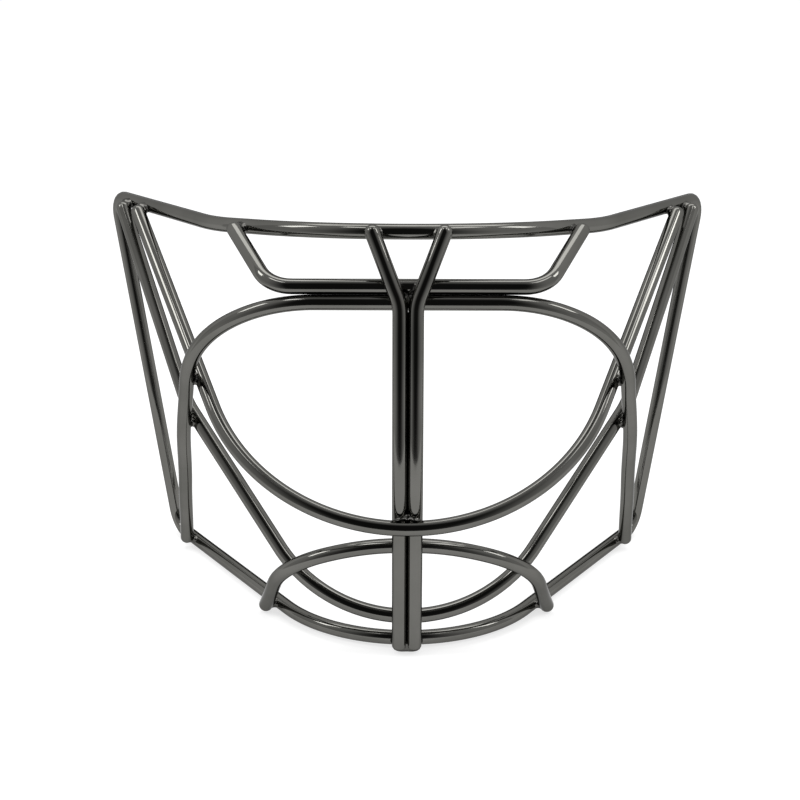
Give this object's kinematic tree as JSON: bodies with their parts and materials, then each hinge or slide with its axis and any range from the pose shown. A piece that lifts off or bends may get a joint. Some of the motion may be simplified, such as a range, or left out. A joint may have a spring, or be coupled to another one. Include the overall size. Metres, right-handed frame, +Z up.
{
  "type": "goalie mask cage",
  "caption": "Cat-eye wire cage of an ice-hockey goalie mask: bent round wires crossed and welded, with a curved closed rim, two centre uprights and open eye windows.",
  "frame": {"origin": "under the middle of the cage, on the plane that its chin bar stands on", "axes": "+Z up along the uprights, -Y forwards out of the face, +X to a viewer's right"},
  "size_m": [0.2276, 0.1266, 0.1489],
  "materials": {
    "plated_wire": "polished black nickel plating on round steel wire",
    "weld_metal": "small weld beads under the same dark plating, less smooth"
  },
  "bodies": {
    "root": {"perimeter_frame": "plated_wire", "upper_wrap_bar": "plated_wire", "lower_wrap_bar": "plated_wire", "eye_arch": "plated_wire", "brow_bar": "plated_wire", "chin_arch": "plated_wire", "upright_right": "plated_wire", "upright_left": "plated_wire", "weld_brow_top_left": "weld_metal", "weld_brow_top_right": "weld_metal", "weld_chin_arch_foot_left": "weld_metal", "weld_chin_arch_foot_right": "weld_metal", "weld_chin_arch_lower_wrap_left": "weld_metal", "weld_chin_arch_lower_wrap_right": "weld_metal", "weld_eye_arch_jaw_left": "weld_metal", "weld_eye_arch_jaw_right": "weld_metal", "weld_eye_arch_lower_wrap_left": "weld_metal", "weld_eye_arch_lower_wrap_right": "weld_metal", "weld_eye_arch_upper_wrap_left": "weld_metal", "weld_eye_arch_upper_wrap_right": "weld_metal", "weld_lower_wrap_top_left": "weld_metal", "weld_lower_wrap_top_right": "weld_metal", "weld_upper_wrap_top_left": "weld_metal", "weld_upper_wrap_top_right": "weld_metal", "weld_upright_top_left": "weld_metal", "weld_upright_top_right": "weld_metal", "weld_uprights_brow": "weld_metal", "weld_uprights_chin": "weld_metal", "weld_uprights_chin_arch": "weld_metal", "weld_uprights_lower_wrap": "weld_metal", "weld_uprights_upper_wrap": "weld_metal"}
  },
  "joints": []
}
